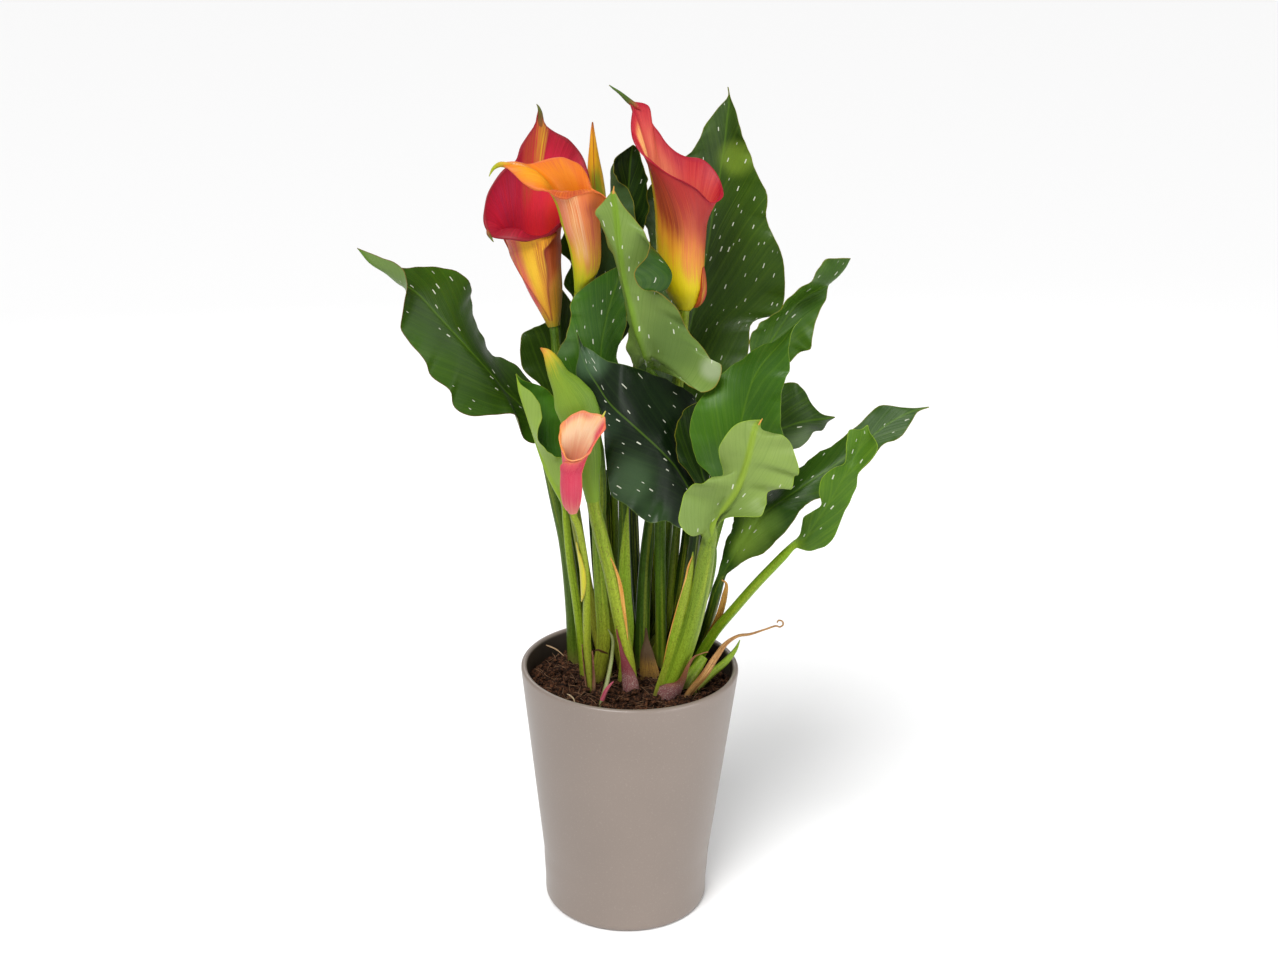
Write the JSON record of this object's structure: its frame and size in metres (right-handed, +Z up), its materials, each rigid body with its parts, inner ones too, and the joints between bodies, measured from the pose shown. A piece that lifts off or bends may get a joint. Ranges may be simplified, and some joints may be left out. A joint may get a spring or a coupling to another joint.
{
  "type": "potted calla lily",
  "caption": "Calla lily plant in a tapered glazed pot: wrapped red, orange and coral blooms on upright stems above broad waved green leaves.",
  "frame": {"origin": "centre of the pot's underside, on the surface that it stands on", "axes": "+Z up along the pot's axis; -Y toward the side that shows the blooms' mouths; +X to that viewer's right"},
  "size_m": [0.3395, 0.1582, 0.5291],
  "materials": {
    "pot": "smooth satin taupe glaze",
    "soil": "loose dark brown peat with fibres",
    "leaf": "waxy, satin deep green with white flecks along the veins",
    "young_leaf": "satin grey green to fresh green, with fine veins",
    "flower_stem": "smooth, moist, yellow green with lengthwise streaks",
    "petal_red": "waxy crimson inside, orange to yellow streaks outside",
    "petal_orange": "waxy orange with peach and lime streaks outside",
    "petal_coral": "waxy coral red that runs to yellow at the foot",
    "petal_small": "waxy peach with a magenta outside",
    "spadix": "matt golden yellow, finely beaded",
    "bud_orange": "waxy orange that runs to green",
    "bud_green": "waxy lime with an orange tip",
    "red_sheath": "thin, purple red, speckled and dry at the edge",
    "dry_sheath": "papery tan to brown, wrinkled lengthwise",
    "yellow_sheath": "thin, bright yellow",
    "shoot": "smooth fresh to olive green"
  },
  "bodies": {
    "root": {"bloom_coral": "petal_coral", "bloom_coral_spadix": "spadix", "bloom_coral_stem": "flower_stem", "bloom_orange": "petal_orange", "bloom_orange_spadix": "spadix", "bloom_orange_stem": "flower_stem", "bloom_red": "petal_red", "bloom_red_spadix": "spadix", "bloom_red_stem": "flower_stem", "bloom_small": "petal_small", "bloom_small_spadix": "spadix", "bloom_small_stem": "flower_stem", "bud_green": "bud_green", "bud_green_stem": "flower_stem", "bud_orange": "bud_orange", "bud_orange_stem": "flower_stem", "leaf_behind_blooms": "leaf", "leaf_behind_left": "leaf", "leaf_behind_right": "leaf", "leaf_between": "leaf", "leaf_centre_left": "leaf", "leaf_centre_pale": "young_leaf", "leaf_far_left": "leaf", "leaf_front_dark": "leaf", "leaf_front_right_pale": "young_leaf", "leaf_long_right": "leaf", "leaf_narrow_left": "young_leaf", "leaf_right_centre": "leaf", "leaf_rolled_back": "leaf", "leaf_small_right": "young_leaf", "leaf_tall_back_right": "leaf", "leaf_upper_right": "leaf", "pot": "pot", "sheath_brown_centre": "dry_sheath", "sheath_dry_right": "dry_sheath", "sheath_pink_left": "red_sheath", "sheath_pink_right": "red_sheath", "sheath_purple_front": "red_sheath", "sheath_purple_right": "red_sheath", "sheath_yellow": "yellow_sheath", "shoot_green": "shoot", "shoot_lime": "shoot", "shoot_stub": "shoot", "shoot_thin": "shoot", "soil": "soil", "stalk_dark_back": "shoot", "stalk_lime_right": "shoot", "stalk_olive_left": "shoot", "tendril_dry": "dry_sheath"}
  },
  "joints": []
}
